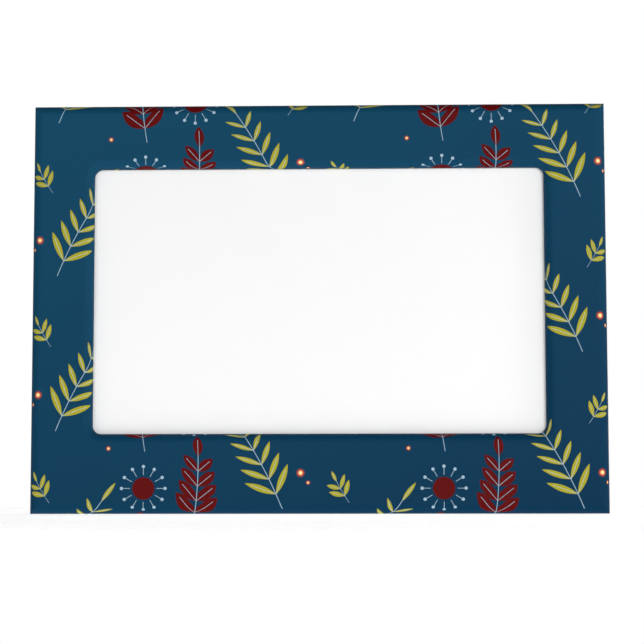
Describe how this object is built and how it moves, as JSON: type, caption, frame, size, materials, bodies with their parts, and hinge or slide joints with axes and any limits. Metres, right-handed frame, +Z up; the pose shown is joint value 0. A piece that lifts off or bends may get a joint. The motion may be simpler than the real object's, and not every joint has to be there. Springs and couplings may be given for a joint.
{
  "type": "magnetic photo frame",
  "caption": "Flat landscape photo frame with a printed, rolled-edge border, a slip-in print pocket open at the top and magnet pads flush in its back, for a steel surface.",
  "frame": {"origin": "centre of the magnetic back, on the plane that meets the steel", "axes": "+X to the viewer's right, +Y out of the back towards the steel, +Z up; the printed front faces -Y"},
  "size_m": [0.1778, 0.0063, 0.127],
  "materials": {
    "printed_film": "printed satin film, blue ground with mustard, dark red and pale motifs",
    "white_styrene": "moulded, fine matt texture",
    "clear_sheet": "clear polished sheet",
    "print_paper": "blank coated photo paper",
    "grey_card": "uncoated grey board",
    "foam_tape": "white closed-cell foam",
    "magnet_rubber": "calendered flexible ferrite",
    "adhesive_film": "clear acrylic adhesive film"
  },
  "bodies": {
    "frame": {"printed_wrap": "printed_film", "front_shell": "white_styrene", "back_cover": "white_styrene", "foam_left": "foam_tape", "foam_right": "foam_tape", "foam_bottom": "foam_tape", "magnet_top_left": "magnet_rubber", "magnet_top_right": "magnet_rubber", "magnet_bottom_left": "magnet_rubber", "magnet_bottom_right": "magnet_rubber", "tape_top_left": "adhesive_film", "tape_top_right": "adhesive_film", "tape_bottom_left": "adhesive_film", "tape_bottom_right": "adhesive_film"},
    "cover_sheet": {"cover_sheet": "clear_sheet"},
    "photo_print": {"photo_print": "print_paper"},
    "backing_card": {"backing_card": "grey_card"}
  },
  "joints": [
    {"name": "cover_slide", "type": "slide", "parent": "frame", "child": "cover_sheet", "axis": [0, 0, 1], "range_m": [0, 0.115]},
    {"name": "print_slide", "type": "slide", "parent": "frame", "child": "photo_print", "axis": [0, 0, 1], "range_m": [0, 0.115]},
    {"name": "card_slide", "type": "slide", "parent": "frame", "child": "backing_card", "axis": [0, 0, 1], "range_m": [0, 0.115]}
  ]
}
